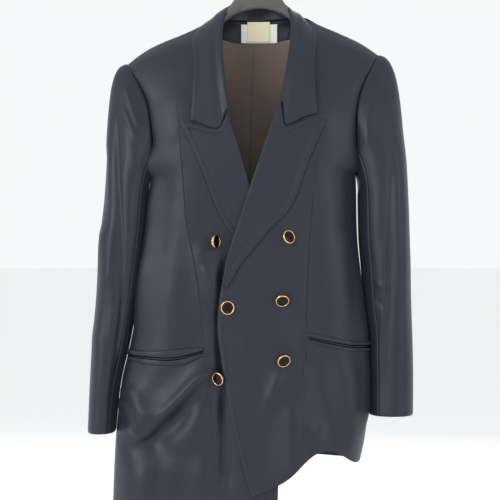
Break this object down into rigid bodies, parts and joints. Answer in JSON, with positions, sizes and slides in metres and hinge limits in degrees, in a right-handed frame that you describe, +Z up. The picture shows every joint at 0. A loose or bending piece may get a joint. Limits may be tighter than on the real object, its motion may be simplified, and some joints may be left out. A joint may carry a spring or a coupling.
{
  "type": "blazer on a hanger",
  "caption": "Long double-breasted blazer with peaked lapels, slanted jetted pockets and domed rimmed buttons, hanging open-necked on a moulded hanger with a wire hook",
  "frame": {"origin": "the inside top of the hanger's hook, where a rail carries it", "axes": "+X the viewer's right, +Y away from the viewer who faces the fronts, +Z up"},
  "size_m": [0.5656, 0.1652, 0.977],
  "materials": {
    "satin": "satin",
    "lining": "satin",
    "label_white": "matte",
    "label_cream": "matte",
    "button_rim": "polished",
    "button_dome": "gloss",
    "hanger_plastic": "satin",
    "hook_steel": "polished"
  },
  "bodies": {
    "root": {"front_under": "satin", "front_over": "satin", "back_left": "satin", "back_right": "satin", "top_sleeve_left": "satin", "under_sleeve_left": "satin", "top_sleeve_right": "satin", "under_sleeve_right": "satin", "collar": "satin", "lapel_under": "satin", "lapel_over": "satin", "pocket_left_upper": "satin", "pocket_left_lower": "satin", "pocket_right_upper": "satin", "pocket_right_lower": "satin", "neck_facing": "satin", "lining_left": "lining", "lining_right": "lining", "neck_label": "label_white", "size_label": "label_cream", "button_top_under": "button_rim", "button_mid_over": "button_rim", "button_low_under": "button_rim", "button_top_right": "button_rim", "button_mid_right": "button_rim", "button_low_right": "button_rim", "hanger_body": "hanger_plastic", "hanger_hook": "hook_steel"}
  },
  "joints": []
}
